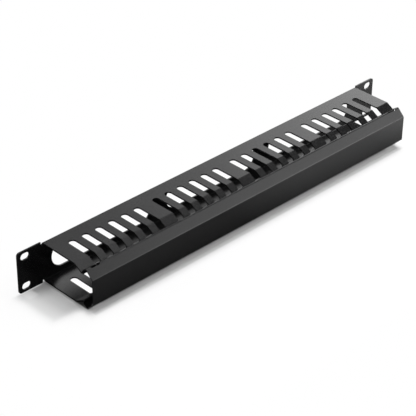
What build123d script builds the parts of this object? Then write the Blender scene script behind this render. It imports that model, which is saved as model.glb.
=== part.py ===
from build123d import *
from math import cos, radians, sin
import os

# A horizontal cable manager for a 19 inch rack, one rack unit high. Patch cables lie in its
# trough, leave it through the gaps between the fingers above and below, or pass to the back
# of the rack through three long openings. It has two pieces of bent sheet steel:
#   duct_frame   one sheet: the back plate with its rack ears, and two slotted flanges whose
#                fingers bend towards each other at the front
#   front_cover  one sheet: a long C with sloped corners, whose two lips clip over the fingers
# X runs along the rack's width, Y points to the back of the rack and Z is up. The origin is
# the centre of the rack holes, on the back face of the ears. Lengths are in millimetres.

# Sheet steel
FRAME_SHEET = 1.5
COVER_SHEET = 1.0
BEND_INNER = 0.8

# Rack ears and their slotted holes, by the 19 inch standard
RACK_WIDTH = 482.6
RACK_UNIT_HEIGHT = 44.45
UNIT_CLEARANCE = 0.45
HOLE_FROM_SIDE = 8.75
HOLE_FROM_UNIT_EDGE = 6.35
EAR_SLOT_LENGTH = 10.0
EAR_SLOT_WIDTH = 7.0
EAR_WIDTH = 27.2
EAR_CORNER = 3.0

# Relief notch between an ear and the bend of a flange
NOTCH_WIDTH = 2.0
NOTCH_CORNER = 0.9

# Trough, whose flanges lie a little inside the edges of the ears
FLANGE_DROP = 0.8
DUCT_DEPTH = 46.0

# Fingers and the gaps between them, in groups with a wide finger on each side of a group
GROUPS = 4
GAPS_IN_GROUP = 6
GAP_WIDTH = 7.5
FINGER_WIDTH = 8.15
GAP_SETBACK = 15.95
TIP_ANGLE = 30.0
TIP_LENGTH = 12.4
TIP_CORNER = 1.0

# Cable openings in the back plate
OPENINGS = 3
OPENING_HEIGHT = 26.0
OPENING_WEB = 20.2
OPENING_END_WEB = 9.5

# Clip-on cover
COVER_END_GAP = 0.4
COVER_RISE = 0.7
COVER_FRONT = 69.4
COVER_SLOPE = 8.45
LIP_ANGLE = 35.0
LIP_CORNER = 3.0
SEAT_GAP = 0.2

# Release slots, cut through the cover's top and bottom folds near its ends
RELEASE_LENGTH = 11.0
RELEASE_WIDTH = 2.8
RELEASE_INSET = 10.5
RELEASE_BEHIND_FOLD = 0.3

PLATE_BEND = BEND_INNER + FRAME_SHEET
HOLE_SPACING_X = RACK_WIDTH - 2 * HOLE_FROM_SIDE
HOLE_SPACING_Z = RACK_UNIT_HEIGHT - 2 * HOLE_FROM_UNIT_EDGE
EAR_HEIGHT = RACK_UNIT_HEIGHT - UNIT_CLEARANCE
DUCT_HEIGHT = EAR_HEIGHT - 2 * FLANGE_DROP
FLANGE_LENGTH = RACK_WIDTH - 2 * (EAR_WIDTH + NOTCH_WIDTH)
GAP_PITCH = GAP_WIDTH + FINGER_WIDTH
GROUP_LENGTH = GAPS_IN_GROUP * GAP_WIDTH + (GAPS_IN_GROUP - 1) * FINGER_WIDTH
WIDE_FINGER_WIDTH = (FLANGE_LENGTH - GROUPS * GROUP_LENGTH) / (GROUPS + 1)
GROUP_PITCH = GROUP_LENGTH + WIDE_FINGER_WIDTH
OPENING_LENGTH = (FLANGE_LENGTH - 2 * OPENING_END_WEB - (OPENINGS - 1) * OPENING_WEB) / OPENINGS
COVER_LENGTH = FLANGE_LENGTH - 2 * COVER_END_GAP
COVER_HEIGHT = DUCT_HEIGHT + 2 * COVER_RISE
FOLD_Y = COVER_SLOPE - COVER_FRONT


def step_along(start, angle, length):
    """Return the point that lies length away from start, at angle degrees from +Y towards +Z."""
    return (start[0] + length * cos(radians(angle)), start[1] + length * sin(radians(angle)))


def inner_line(outer, distance):
    """Return the corners of a bent line that runs distance inside the outer one."""
    shifted = []
    for (y0, z0), (y1, z1) in zip(outer, outer[1:]):
        length = ((y1 - y0) ** 2 + (z1 - z0) ** 2) ** 0.5
        shift_y = (z1 - z0) / length * distance
        shift_z = (y0 - y1) / length * distance
        shifted.append(((y0 + shift_y, z0 + shift_z), (y1 + shift_y, z1 + shift_z)))
    corners = [shifted[0][0]]
    for ((ay, az), (by, bz)), ((cy, cz), (dy, dz)) in zip(shifted, shifted[1:]):
        cross = (by - ay) * (dz - cz) - (bz - az) * (dy - cy)
        share = ((cy - ay) * (dz - cz) - (cz - az) * (dy - cy)) / cross
        corners.append((ay + share * (by - ay), az + share * (bz - az)))
    corners.append(shifted[-1][1])
    return corners


def folded_sheet(outer, thickness, length):
    """Return a sheet bent along the outer line, which runs clockwise seen from +X."""
    inner = inner_line(outer, thickness)
    rounded_outer = FilletPolyline(*outer, radius=BEND_INNER + thickness)
    rounded_inner = FilletPolyline(*inner, radius=BEND_INNER)
    ends = Line(outer[0], inner[0]) + Line(outer[-1], inner[-1])
    section = make_face(rounded_outer + rounded_inner + ends)
    return extrude(Plane.YZ * section, amount=length / 2, both=True)


def mirrored_line(upper):
    """Return the whole outer line of a section from its upper half."""
    return upper + [(y, -z) for y, z in reversed(upper)]


def gap_centres():
    """Return the X of every gap between fingers."""
    centres = []
    for group in range(GROUPS):
        group_x = (group - (GROUPS - 1) / 2) * GROUP_PITCH
        for gap in range(GAPS_IN_GROUP):
            centres.append(group_x + (gap - (GAPS_IN_GROUP - 1) / 2) * GAP_PITCH)
    return centres


def back_plate():
    """Return the flat plate with both ears, notched where the ears meet the flange folds."""
    web_height = DUCT_HEIGHT - 2 * PLATE_BEND
    ear_x = (RACK_WIDTH - EAR_WIDTH) / 2
    ears = Sketch() + [Pos(side * ear_x, 0) * Rectangle(EAR_WIDTH, EAR_HEIGHT) for side in (-1, 1)]
    plate = ears + Rectangle(RACK_WIDTH, web_height)
    ear_corners = plate.vertices().filter_by(lambda v: abs(v.X) > ear_x)
    plate = fillet(ear_corners, EAR_CORNER)
    notch_corners = plate.vertices().filter_by(lambda v: abs(v.X) < ear_x and abs(v.Y) < DUCT_HEIGHT / 2)
    plate = fillet(notch_corners, NOTCH_CORNER)
    return extrude(Plane.XZ * plate, amount=FRAME_SHEET)


def plate_holes():
    """Return the cutters for the rack holes and for the cable openings."""
    ear_slot = SlotOverall(EAR_SLOT_LENGTH, EAR_SLOT_WIDTH)
    holes = Sketch() + [
        Pos(side * HOLE_SPACING_X / 2, level * HOLE_SPACING_Z / 2) * ear_slot
        for side in (-1, 1)
        for level in (-1, 1)
    ]
    for opening in range(OPENINGS):
        opening_x = (opening - (OPENINGS - 1) / 2) * (OPENING_LENGTH + OPENING_WEB)
        holes += Pos(opening_x, 0) * SlotOverall(OPENING_LENGTH, OPENING_HEIGHT)
    return extrude(Plane.XZ * holes, amount=FRAME_SHEET)


def finger_gaps():
    """Return the cutters that open every gap between fingers, above and below."""
    round_y = -GAP_SETBACK - GAP_WIDTH / 2
    front_y = -DUCT_DEPTH - TIP_LENGTH
    straight = Rectangle(GAP_WIDTH, round_y - front_y, align=(Align.CENTER, Align.MIN))
    gap = Pos(0, front_y) * straight + Pos(0, round_y) * Circle(GAP_WIDTH / 2)
    gaps = Sketch() + [Pos(x, 0) * gap for x in gap_centres()]
    return extrude(gaps, amount=DUCT_HEIGHT, both=True)


def duct_frame():
    """Return the slotted trough with its rack ears, bent from one sheet."""
    fold = (-DUCT_DEPTH, DUCT_HEIGHT / 2)
    tip = step_along(fold, 180 + TIP_ANGLE, TIP_LENGTH)
    outer = mirrored_line([tip, fold, (0, DUCT_HEIGHT / 2)])
    frame = folded_sheet(outer, FRAME_SHEET, FLANGE_LENGTH) + back_plate()
    frame = frame - plate_holes() - finger_gaps()
    tip_corners = [
        edge
        for edge in frame.edges().filter_by(GeomType.LINE)
        if abs(edge.length - FRAME_SHEET) < FRAME_SHEET / 100
        and edge.center().Y < tip[0] + FRAME_SHEET
    ]
    return chamfer(tip_corners, TIP_CORNER)


def lip_length():
    """Return how far a lip reaches from its fold to end just above the slope of the fingers."""
    fold_to_fold = -DUCT_DEPTH - FOLD_Y
    height_apart = (DUCT_HEIGHT - COVER_HEIGHT) / 2
    tip_y, tip_z = -sin(radians(TIP_ANGLE)), cos(radians(TIP_ANGLE))
    thickness_down = COVER_SHEET * cos(radians(TIP_ANGLE + LIP_ANGLE))
    above_slope = -fold_to_fold * tip_y - height_apart * tip_z - thickness_down
    return (above_slope - SEAT_GAP) / sin(radians(TIP_ANGLE + LIP_ANGLE))


def front_cover():
    """Return the clip-on cover, bent from one sheet."""
    fold = (FOLD_Y, COVER_HEIGHT / 2)
    lip_end = step_along(fold, -LIP_ANGLE, lip_length())
    front = (-COVER_FRONT, COVER_HEIGHT / 2 - COVER_SLOPE)
    outer = mirrored_line([lip_end, fold, front])
    cover = folded_sheet(list(reversed(outer)), COVER_SHEET, COVER_LENGTH)
    release = Sketch() + [
        Pos(side * (COVER_LENGTH / 2 - RELEASE_INSET), FOLD_Y + RELEASE_BEHIND_FOLD)
        * SlotOverall(RELEASE_LENGTH, RELEASE_WIDTH)
        for side in (-1, 1)
    ]
    cover -= extrude(release, amount=COVER_HEIGHT, both=True)
    lip_corners = [
        edge
        for edge in cover.edges().filter_by(GeomType.LINE)
        if abs(edge.length - COVER_SHEET) < COVER_SHEET / 100
        and edge.center().Y > lip_end[0] - COVER_SHEET
        and abs(edge.center().X) > COVER_LENGTH / 2 - COVER_SHEET
    ]
    return fillet(lip_corners, LIP_CORNER)


os.makedirs("parts", exist_ok=True)
for name, shape in (("duct_frame", duct_frame()), ("front_cover", front_cover())):
    export_step(shape, f"parts/{name}.step")
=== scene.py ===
"""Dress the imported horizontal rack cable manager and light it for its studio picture.

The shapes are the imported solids. This script gives each folded sheet its powder coat, and makes
the floor, the sky, the lamps and the camera. Lengths are in metres, angles in degrees.
"""

from __future__ import annotations

import logging
import math
from dataclasses import dataclass
from enum import Enum

import bpy
from mathutils import Matrix, Vector


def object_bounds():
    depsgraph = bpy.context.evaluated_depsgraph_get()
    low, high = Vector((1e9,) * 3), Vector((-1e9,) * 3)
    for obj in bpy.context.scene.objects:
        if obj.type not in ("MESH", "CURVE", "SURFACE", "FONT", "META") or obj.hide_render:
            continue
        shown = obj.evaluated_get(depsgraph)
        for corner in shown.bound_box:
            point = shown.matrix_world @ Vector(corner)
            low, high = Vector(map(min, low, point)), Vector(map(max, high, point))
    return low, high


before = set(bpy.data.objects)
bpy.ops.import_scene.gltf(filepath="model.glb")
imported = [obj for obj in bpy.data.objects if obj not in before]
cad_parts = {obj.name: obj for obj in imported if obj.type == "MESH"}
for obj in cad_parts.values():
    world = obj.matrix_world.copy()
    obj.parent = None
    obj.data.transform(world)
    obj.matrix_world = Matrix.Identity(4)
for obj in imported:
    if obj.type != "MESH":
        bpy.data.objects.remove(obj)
CAD_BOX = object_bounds()
FRONT_EDGE = CAD_BOX[0][1]
LOG = logging.getLogger("cable_manager")
PHOTO_WIDTH_PX = 416
SENSOR_WIDTH_MM = 36.0
WHITE = (1.0, 1.0, 1.0, 1.0)
BLACK = (0.0, 0.0, 0.0, 1.0)
BLACK_COAT = (0.003, 0.003, 0.0033)
NOISE_MIDDLE = 0.5

Edge = tuple[float, float]


class MathOp(Enum):
    """Operations of a Math node that the expressions below use."""

    ADD = "ADD"
    SUBTRACT = "SUBTRACT"
    MULTIPLY = "MULTIPLY"
    DIVIDE = "DIVIDE"
    MAXIMUM = "MAXIMUM"
    EXPONENT = "EXPONENT"


class RayKind(Enum):
    """Kinds of ray that a Light Path node tells apart."""

    CAMERA = "Is Camera Ray"
    GLOSSY = "Is Glossy Ray"
    TRANSMISSION = "Is Transmission Ray"


class Wire:
    """One output socket of a node tree, which Python's operators turn into Math nodes."""

    def __init__(self, graph: Graph, socket: bpy.types.NodeSocket | None) -> None:
        """Hold a socket.

        Args:
            graph: The graph that the socket's node is in.
            socket: The output socket, or None for a node that has no output.
        """
        self.graph = graph
        self.socket = socket

    def _math(self, op: MathOp, *operands: Wire | float) -> Wire:
        """Add a Math node.

        Args:
            op: The operation.
            operands: What it works on, in the order of the node's sockets.

        Returns:
            The node's value.
        """
        return self.graph.node("ShaderNodeMath", {"operation": op.value}, dict(enumerate(operands)))

    def __add__(self, other: Wire | float) -> Wire:
        """Return self + other."""
        return self._math(MathOp.ADD, self, other)

    def __radd__(self, other: float) -> Wire:
        """Return other + self."""
        return self._math(MathOp.ADD, other, self)

    def __sub__(self, other: Wire | float) -> Wire:
        """Return self - other."""
        return self._math(MathOp.SUBTRACT, self, other)

    def __rsub__(self, other: float) -> Wire:
        """Return other - self."""
        return self._math(MathOp.SUBTRACT, other, self)

    def __mul__(self, other: Wire | float) -> Wire:
        """Return self * other."""
        return self._math(MathOp.MULTIPLY, self, other)

    def __rmul__(self, other: float) -> Wire:
        """Return other * self."""
        return self._math(MathOp.MULTIPLY, other, self)

    def __truediv__(self, other: Wire | float) -> Wire:
        """Return self / other."""
        return self._math(MathOp.DIVIDE, self, other)

    def __rtruediv__(self, other: float) -> Wire:
        """Return other / self."""
        return self._math(MathOp.DIVIDE, other, self)

    def at_least(self, other: Wire | float) -> Wire:
        """Return the larger of the two values."""
        return self._math(MathOp.MAXIMUM, self, other)

    def exponent(self) -> Wire:
        """Return e to the power of the value."""
        return self._math(MathOp.EXPONENT, self)

    def rise(self, start: float, end: float) -> Wire:
        """Return a smooth step from 0 to 1.

        Args:
            start: The value at which it leaves 0. It may be the larger of the two.
            end: The value at which it reaches 1.

        Returns:
            The step.
        """
        return self.graph.node("ShaderNodeMapRange", {"interpolation_type": "SMOOTHSTEP"}, {
            "Value": self, "From Min": start, "From Max": end})

    def mix(self, first: Wire, second: Wire) -> Wire:
        """Mix two shaders, with the value as the second one's share.

        Args:
            first: The shader where the value is 0.
            second: The shader where the value is 1.

        Returns:
            The mixed shader.
        """
        return self.graph.node("ShaderNodeMixShader", {}, {0: self, 1: first, 2: second})


class Graph:
    """A node tree that is written as expressions."""

    def __init__(self, tree: bpy.types.NodeTree) -> None:
        """Empty a tree and hold it.

        Args:
            tree: The node tree of a material or a world.
        """
        self.tree = tree
        tree.nodes.clear()

    def node(self, kind: str, settings: dict | None = None, inputs: dict | None = None,
             output: str | int = 0) -> Wire:
        """Add a node of any type.

        Args:
            kind: The node's type name.
            settings: Properties of the node, set before its sockets. The entry "stops" is a list
                of (position, colour) pairs for a colour ramp.
            inputs: A value or a Wire for each input socket, by name or by number.
            output: The output socket to return, by name or by number.

        Returns:
            The chosen output.
        """
        made = self.tree.nodes.new(kind)
        for name, value in (settings or {}).items():
            if name == "stops":
                ramp = made.color_ramp.elements
                while len(ramp) < len(value):
                    ramp.new(0.5)
                for stop, (position, colour) in zip(ramp, value):
                    stop.position = position
                    stop.color = (*colour, 1.0)
            else:
                setattr(made, name, value)
        for name, value in (inputs or {}).items():
            if isinstance(value, Wire):
                self.tree.links.new(value.socket, made.inputs[name])
            else:
                made.inputs[name].default_value = value
        return Wire(self, made.outputs[output] if made.outputs else None)

    def ray(self, kind: RayKind) -> Wire:
        """Return 1 for rays of a kind, and 0 for the rest."""
        return self.node("ShaderNodeLightPath", output=kind.value)

    def to_eye(self) -> Wire:
        """Return 1 for rays that the camera sees straight or through glass."""
        return self.ray(RayKind.CAMERA).at_least(self.ray(RayKind.TRANSMISSION))


@dataclass(frozen=True)
class Noise:
    """An even noise over a surface.

    Attributes:
        size: The size of its largest features.
        detail: How many finer layers it has.
    """

    size: float
    detail: float

    def shade(self, graph: Graph, place: Wire) -> Wire:
        """Add the noise's node.

        Args:
            graph: The material's graph.
            place: The place on the surface.

        Returns:
            The noise, from 0 to 1.
        """
        return graph.node("ShaderNodeTexNoise", {}, {
            "Vector": place, "Scale": 1 / self.size, "Detail": self.detail})


@dataclass(frozen=True)
class PowderCoat:
    """Baked semi-gloss powder coat on sheet steel.

    Attributes:
        name: The material's name.
        colour: The coat's colour, linear RGB.
        roughness: Its mean roughness.
        roughness_spread: How far the roughness wanders over the surface.
        drift: The noise by which it wanders.
        peel: The orange-peel waves.
        grain: The fine grain.
        peel_share: The waves' share of the bump. The grain makes the rest.
        bump_height: The height of the bump.
        refraction: The coat's index of refraction.
        gloss: How strong its gloss is, where 0.5 is what its index alone gives.
    """

    name: str
    colour: tuple[float, float, float]
    roughness: float = 0.25
    roughness_spread: float = 0.06
    drift: Noise = Noise(0.04, 3.0)
    peel: Noise = Noise(0.0016, 2.0)
    grain: Noise = Noise(0.0003, 1.0)
    peel_share: float = 0.7
    bump_height: float = 0.00003
    refraction: float = 1.5
    gloss: float = 1.0

    def material(self) -> bpy.types.Material:
        """Build the coat.

        Returns:
            The material.
        """
        made = bpy.data.materials.new(self.name)
        made.use_nodes = True
        graph = Graph(made.node_tree)
        place = graph.node("ShaderNodeTexCoord", output="Object")
        peel = self.peel.shade(graph, place)
        grain = self.grain.shade(graph, place)
        drift = self.drift.shade(graph, place)
        height = peel * self.peel_share + grain * (1 - self.peel_share)
        normal = graph.node("ShaderNodeBump", {}, {
            "Height": height, "Distance": self.bump_height, "Strength": 1.0})
        rough = (drift - NOISE_MIDDLE) * (2 * self.roughness_spread) + self.roughness
        shade = graph.node("ShaderNodeBsdfPrincipled", {}, {
            "Base Color": (*self.colour, 1.0),
            "Roughness": rough,
            "IOR": self.refraction,
            "Specular IOR Level": self.gloss,
            "Normal": normal,
        })
        graph.node("ShaderNodeOutputMaterial", {}, {"Surface": shade})
        return made


def direction(azimuth: float, elevation: float) -> Vector:
    """Return the unit vector towards a place in the sky.

    Args:
        azimuth: Degrees from +X towards +Y.
        elevation: Degrees above the horizon.

    Returns:
        The vector.
    """
    turn, rise = math.radians(azimuth), math.radians(elevation)
    return Vector((
        math.cos(turn) * math.cos(rise), math.sin(turn) * math.cos(rise), math.sin(rise)))


def dress(node: str, material: bpy.types.Material) -> None:
    """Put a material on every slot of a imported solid.

    Args:
        node: The solid's node name.
        material: The material.
    """
    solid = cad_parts[node]
    if not solid.material_slots:
        solid.data.materials.append(material)
    for place in solid.material_slots:
        place.material = material
    LOG.info("%s has %s", node, material.name)


@dataclass
class DuctFrame:
    """The slotted trough with its rack ears, one folded sheet.

    Attributes:
        coat: Its finish.
    """

    coat: PowderCoat = PowderCoat("duct_powder_coat", BLACK_COAT)

    def build(self) -> None:
        """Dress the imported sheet."""
        dress("duct_frame", self.coat.material())


@dataclass
class FrontCover:
    """The clip-on cover, one folded sheet.

    Attributes:
        coat: Its finish.
    """

    coat: PowderCoat = PowderCoat("cover_powder_coat", BLACK_COAT)

    def build(self) -> None:
        """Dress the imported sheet."""
        dress("front_cover", self.coat.material())


def area_lamp(name: str, size: tuple[float, float], brightness: float, place: Vector,
              facing: Vector) -> bpy.types.Object:
    """Add a rectangular lamp with an even face.

    Args:
        name: Its name.
        size: Its width and height.
        brightness: Its radiance, where 1 is a white wall in the picture.
        place: Its centre.
        facing: The way that its face points.

    Returns:
        The lamp.
    """
    width, height = size
    light = bpy.data.lights.new(name, "AREA")
    light.shape = "RECTANGLE"
    light.size, light.size_y = size
    light.energy = brightness * math.pi * width * height
    lamp = bpy.data.objects.new(name, light)
    lamp.location = place
    lamp.rotation_euler = facing.to_track_quat("-Z", "Y").to_euler()
    bpy.context.scene.collection.objects.link(lamp)
    LOG.info("lamp %s", name)
    return lamp


@dataclass(frozen=True)
class Softbox:
    """A square lamp, turned to the object. Its light has no mirror image.

    Attributes:
        name: Its name.
        azimuth: Where it stands, from +X towards +Y.
        elevation: How far above the horizon it stands.
        side: The length of its side.
        brightness: Its radiance, where 1 is a white wall in the picture.
        distance: How far it stands from the object.
    """

    name: str
    azimuth: float
    elevation: float
    side: float
    brightness: float
    distance: float = 1.3

    def build(self) -> None:
        """Add the lamp."""
        place = direction(self.azimuth, self.elevation) * self.distance
        lamp = area_lamp(self.name, (self.side, self.side), self.brightness, place, -place)
        lamp.visible_glossy = False


@dataclass(frozen=True)
class GlossCard:
    """A small pale card that faces the front, which only the object's gloss shows.

    Attributes:
        name: Its name.
        place: The card's centre.
        width: Its width.
        height: Its height.
        brightness: Its radiance, where 1 is a white wall in the picture.
    """

    name: str
    place: tuple[float, float, float]
    width: float
    height: float
    brightness: float

    def build(self) -> None:
        """Add the card, which is a lamp that only gloss sees."""
        card = area_lamp(self.name, (self.width, self.height), self.brightness,
                         Vector(self.place), Vector((0, -1, 0)))
        card.visible_camera = card.visible_diffuse = False


@dataclass(frozen=True)
class SkyGlow:
    """A soft bright place in the sky, as gloss shows the lamps.

    Attributes:
        azimuth: Where its middle stands, from +X towards +Y.
        elevation: How far above the horizon its middle stands.
        brightness: Its radiance in the middle.
        spread: The angle from its middle at which it has faded to six tenths.
    """

    azimuth: float
    elevation: float
    brightness: float
    spread: float = 10.0

    def shade(self, graph: Graph, way: Wire) -> Wire:
        """Add the glow's nodes.

        Args:
            graph: The world's graph.
            way: The direction of a ray.

        Returns:
            The glow's radiance that way.
        """
        middle = direction(self.azimuth, self.elevation)
        near = graph.node("ShaderNodeVectorMath", {"operation": "DOT_PRODUCT"}, {
            0: way, 1: middle}, "Value")
        return ((near - 1.0) / math.radians(self.spread) ** 2).exponent() * self.brightness


@dataclass(frozen=True)
class FloorPatch:
    """A patch of the floor with soft edges.

    Attributes:
        share: How strong it is in its middle.
        left: Where its left edge starts to show, and where it shows in full, along X. An edge
            that isn't given lies at infinity.
        right: The same for its right edge.
        front: The same for its front edge, along Y.
        rear: The same for its rear edge.
    """

    share: float
    left: Edge | None = None
    right: Edge | None = None
    front: Edge | None = None
    rear: Edge | None = None

    def mask(self, along: Wire, back: Wire) -> Wire | float:
        """Add the patch's nodes.

        Args:
            along: The place along X.
            back: The place along Y.

        Returns:
            How strong the patch is there.
        """
        level: Wire | float = self.share
        for place, edges in ((along, (self.left, self.right)), (back, (self.front, self.rear))):
            for edge in edges:
                if edge:
                    level *= place.rise(*edge)
        return level


@dataclass(frozen=True)
class Studio:
    """The pale floor, the sky, the softboxes and the card.

    Attributes:
        floor_level: Height of the floor.
        floor_reach: Half the floor's side.
        floor_shade: The floor's own grey.
        open_floor: Where the camera sees the floor lifted to white, outside the resting object's
        shadow, and by how much. Some patches reach into the shadow and lighten it with painted
        light.
        shadows: Painted shadows, where the floor is darker than the lamps leave it, and by how
            much.
        mirrored_floor: How bright the floor in front is in reflections, by its place along X;
            painted shade.
        mirrored_foot: What share of that is left right at the object's foot.
        mirrored_open: Where the rest of it comes in, away from the foot.
        mirrored_brim: The strip under the object's front edge, which reflections show in full, as
            painted light.
        mirrored_back: How bright the floor behind the object glows in reflections; a painted glow.
        mirrored_rear: Where that brighter floor lies.
        fill: The sky's light on the object.
        boxes: The lamps.
        cards: The cards behind the object.
        glows: The sky in reflections.
    """

    floor_level: float = CAD_BOX[0][2]
    floor_reach: float = 12.0
    floor_shade: float = 0.95
    open_floor: tuple[FloorPatch, ...] = (
        # Far from the object, on its four sides
        FloorPatch(1.0, right=(-0.3, -0.4)),
        FloorPatch(1.0, left=(0.3, 0.4)),
        FloorPatch(1.0, rear=(-0.16, -0.26)),
        FloorPatch(1.0, front=(0.06, 0.16)),
        # Past the left ear, past the trough's right end and in front of the cover
        FloorPatch(0.85, right=(-0.2393, -0.2553)),
        FloorPatch(0.85, left=(0.2113, 0.2213)),
        FloorPatch(0.85, rear=(-0.0705, -0.0805)),
        # Painted light that trims the shadow before the cover's left end, its left half and its
        # right end
        FloorPatch(0.85, right=(-0.2113, -0.2213), rear=(-0.049, -0.063)),
        FloorPatch(0.85, right=(-0.08, -0.2), rear=(-0.0675, -0.078)),
        FloorPatch(0.75, left=(0.205, 0.2115), rear=(-0.0585, -0.0625)),
        # A painted pool of light before the left ear's foot, where light through its slot falls
        FloorPatch(0.24, left=(-0.241, -0.237), right=(-0.227, -0.231),
                   front=(-0.016, -0.012), rear=(0.0, -0.004)),
        # Behind the back plate and behind the left ear
        FloorPatch(0.85, front=(0.0, 0.012)),
        FloorPatch(0.85, right=(-0.2113, -0.2213), front=(-0.004, 0.0)),
        # Under the trough, lifted to white in its shade, and a faint painted light under the
        # cover's front
        FloorPatch(1.0, left=(-0.2113, -0.2013), front=(-0.047, -0.043)),
        FloorPatch(0.1, left=(-0.213, -0.211), right=(0.213, 0.211),
                   front=(-0.07, -0.065), rear=(-0.059, -0.063)),
    )
    shadows: tuple[FloorPatch, ...] = (
        # Painted shadows under the finger ends, and along the cover's front
        FloorPatch(0.85, left=(-0.2127, -0.2107), right=(0.2127, 0.2107),
                   front=(-0.0626, -0.0596), rear=(-0.0422, -0.0452)),
        FloorPatch(0.2, left=(-0.2127, -0.2107), right=(0.2127, 0.2107),
                   front=(-0.074, -0.071), rear=(-0.065, -0.0685)),
        # Painted shadows before the left ear: over its width, beside the trough's end, and right at
        # its foot
        FloorPatch(0.1, left=(-0.251, -0.241), right=(-0.209, -0.213),
                   front=(-0.058, -0.052), rear=(0.002, -0.002)),
        FloorPatch(0.09, left=(-0.226, -0.217), right=(-0.209, -0.213),
                   front=(-0.062, -0.056), rear=(0.002, -0.002)),
        FloorPatch(0.3, left=(-0.24, -0.227), right=(-0.209, -0.213),
                   front=(-0.024, -0.006), rear=(0.002, -0.002)),
    )
    mirrored_floor: tuple[tuple[float, float], ...] = (
        (-0.1, 0.14), (-0.01, 0.14), (0.09, 0.35), (0.2, 0.42), (0.32, 0.9))
    mirrored_foot: float = 0.4
    mirrored_open: FloorPatch = FloorPatch(
        1 - mirrored_foot, rear=(FRONT_EDGE + 0.008, FRONT_EDGE - 0.049))
    mirrored_brim: FloorPatch = FloorPatch(
        1.0, front=(FRONT_EDGE - 0.002, FRONT_EDGE + 0.004),
        rear=(FRONT_EDGE + 0.012, FRONT_EDGE + 0.008))
    mirrored_back: float = 1.1
    mirrored_rear: FloorPatch = FloorPatch(1.0, front=(0.05, 0.1), rear=(0.4, 0.25))
    fill: float = 0.5
    boxes: tuple[Softbox, ...] = (
        Softbox("front_softbox", -38, 38, 0.6, 3.08),
        Softbox("side_softbox", 0, 65, 0.8, 2.9),
        Softbox("top_softbox", 0, 80, 0.8, 2.05),
        Softbox("far_softbox", 180, 60, 0.8, 0.97),
    )
    cards: tuple[GlossCard, ...] = (
        GlossCard("back_card", (-0.167, 0.02, 0.009), 0.05, 0.024, 0.55),
    )
    glows: tuple[SkyGlow, ...] = (
        SkyGlow(28, 21, 3.2),
        SkyGlow(28, 8, 2.8),
        SkyGlow(75, 30, 0.9),
        SkyGlow(75, 55, 1.2),
        SkyGlow(-35, 25, 1.15),
        SkyGlow(-44, 8, 2.3),
        SkyGlow(-45, 30, 0.55),
        SkyGlow(0, 80, 3.7),
        SkyGlow(-20, 68, 0.85, 7.0),
        SkyGlow(180, 35, 0.3, 33.0),
    )

    def _open(self, along: Wire, back: Wire) -> Wire:
        """Return how far the floor is lifted to white for the camera.

        Args:
            along: The place along X.
            back: The place along Y.

        Returns:
            The share.
        """
        lifted, *others = (patch.mask(along, back) for patch in self.open_floor)
        for other in others:
            lifted = lifted.at_least(other)
        return lifted

    def _shadow(self, along: Wire, back: Wire) -> Wire:
        """Return how much of its light the floor loses to the painted shadow patches.

        Args:
            along: The place along X.
            back: The place along Y.

        Returns:
            The share.
        """
        left: Wire | float = 1.0
        for patch in self.shadows:
            left *= 1 - patch.mask(along, back)
        return 1 - left

    def _mirrored(self, graph: Graph, along: Wire, back: Wire) -> Wire:
        """Return how much of the front floor's light reflections show, a painted shade by place.

        Args:
            graph: The floor's graph.
            along: The place along X.
            back: The place along Y.

        Returns:
            The share.
        """
        start, end = self.mirrored_floor[0][0], self.mirrored_floor[-1][0]
        span = end - start
        stops = [((x - start) / span, (share,) * 3) for x, share in self.mirrored_floor]
        front = graph.node("ShaderNodeValToRGB", {"stops": stops}, {0: (along - start) / span})
        foot = self.mirrored_open.mask(along, back) + self.mirrored_foot
        return (front * foot).at_least(self.mirrored_brim.mask(along, back))

    def _floor_coat(self) -> bpy.types.Material:
        """Build the floor's material, white to the camera outside the object's shadow, with painted
            shadows, and a painted shade and glow that only reflections see.

        Returns:
            The material.
        """
        made = bpy.data.materials.new("pale_floor")
        made.use_nodes = True
        graph = Graph(made.node_tree)
        place = graph.node("ShaderNodeTexCoord", output="Object")
        along, back = (graph.node("ShaderNodeSeparateXYZ", {}, {0: place}, axis) for axis in "XY")
        pale = graph.node("ShaderNodeBsdfDiffuse", {}, {"Color": (*(self.floor_shade,) * 3, 1.0)})
        dark = graph.node("ShaderNodeBsdfDiffuse", {}, {"Color": BLACK})
        white = graph.node("ShaderNodeEmission", {}, {"Color": WHITE, "Strength": 1.0})
        glare = graph.node("ShaderNodeEmission", {}, {
            "Color": WHITE, "Strength": self.mirrored_back})
        mirror = graph.ray(RayKind.GLOSSY)
        # Painted shade: the shadow patches darken the floor for every ray, reflections see the
        # front floor dimmed by place, and the floor behind glows in reflections only
        painted_reflection_shade = mirror * (1 - self._mirrored(graph, along, back))
        front = painted_reflection_shade.at_least(self._shadow(along, back)).mix(pale, dark)
        lit = (mirror * self.mirrored_rear.mask(along, back)).mix(front, glare)
        seen = (graph.to_eye() * self._open(along, back)).mix(lit, white)
        graph.node("ShaderNodeOutputMaterial", {}, {"Surface": seen})
        return made

    def _floor(self) -> None:
        """Lay the floor."""
        reach = self.floor_reach
        mesh = bpy.data.meshes.new("floor")
        corners = [(-reach, -reach, 0), (reach, -reach, 0), (reach, reach, 0), (-reach, reach, 0)]
        mesh.from_pydata(corners, [], [(0, 1, 2, 3)])
        mesh.materials.append(self._floor_coat())
        floor = bpy.data.objects.new("floor", mesh)
        floor.location.z = self.floor_level
        bpy.context.scene.collection.objects.link(floor)

    def _sky(self) -> None:
        """Build the world: white to the camera, even fill, and soft glows in reflections."""
        world = bpy.data.worlds.new("studio_sky")
        bpy.context.scene.world = world
        world.use_nodes = True
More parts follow.
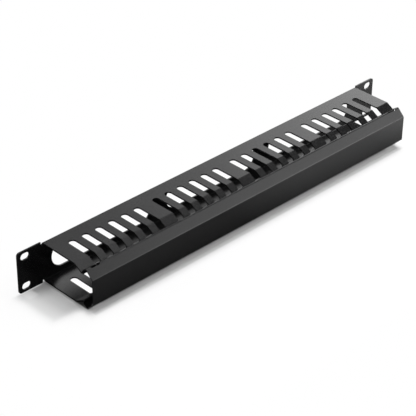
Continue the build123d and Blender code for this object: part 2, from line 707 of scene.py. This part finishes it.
        # The rays that leave the object find the sky, so it isn't sampled as a lamp too
        world.cycles.sampling_method = "NONE"
        graph = Graph(world.node_tree)
        way = graph.node("ShaderNodeTexCoord", output="Generated")
        mirrored: Wire | float = 0.0
        for glow in self.glows:
            mirrored += glow.shade(graph, way)
        to_eye, glossy = graph.to_eye(), graph.ray(RayKind.GLOSSY)
        level = to_eye + glossy * mirrored + (1 - to_eye.at_least(glossy)) * self.fill
        sky = graph.node("ShaderNodeBackground", {}, {"Color": WHITE, "Strength": level})
        graph.node("ShaderNodeOutputWorld", {}, {"Surface": sky})

    def build(self) -> None:
        """Build the floor, the sky, the softboxes and the card."""
        self._floor()
        self._sky()
        for lamp in (*self.boxes, *self.cards):
            lamp.build()


@dataclass(frozen=True)
class PhotoCamera:
    """The camera at the photograph's place.

    Attributes:
        azimuth: Where it stands round the object, from -Y towards +X.
        elevation: How far above the horizon it stands.
        roll: Its tilt about its own axis.
        distance: Its distance from the target.
        target: A point on its axis.
        focal_px: Its focal length in pixels of the photograph.
        clip_end: How far it sees.
    """

    azimuth: float = -44.675
    elevation: float = 32.801
    roll: float = 0.643
    distance: float = 1.8903
    target: tuple[float, float, float] = (0.19102, 0.19574, -0.21315)
    focal_px: float = 1570.5
    clip_end: float = 100.0

    def build(self) -> None:
        """Add the camera and make it the scene's."""
        turn, rise, roll = (math.radians(v) for v in (self.azimuth, self.elevation, self.roll))
        back = Vector((
            math.sin(turn) * math.cos(rise), -math.cos(turn) * math.cos(rise), math.sin(rise)))
        level = Vector((math.cos(turn), math.sin(turn), 0))
        up = back.cross(level)
        across = level * math.cos(roll) + up * math.sin(roll)
        upward = up * math.cos(roll) - level * math.sin(roll)
        data = bpy.data.cameras.new("photo_camera")
        data.sensor_width = SENSOR_WIDTH_MM
        data.lens = self.focal_px * SENSOR_WIDTH_MM / PHOTO_WIDTH_PX
        data.clip_end = self.clip_end
        camera = bpy.data.objects.new("photo_camera", data)
        axes = Matrix((across, upward, back)).transposed().to_4x4()
        camera.matrix_world = Matrix.Translation(Vector(self.target) + back * self.distance) @ axes
        bpy.context.scene.collection.objects.link(camera)
        bpy.context.scene.camera = camera


def main() -> None:
    """Build the scene."""
    logging.basicConfig(level=logging.INFO, format="%(message)s")
    PhotoCamera().build()
    DuctFrame().build()
    FrontCover().build()
    Studio().build()
    bpy.context.scene.view_settings.view_transform = "Standard"


if __name__ == "__main__":
    main()
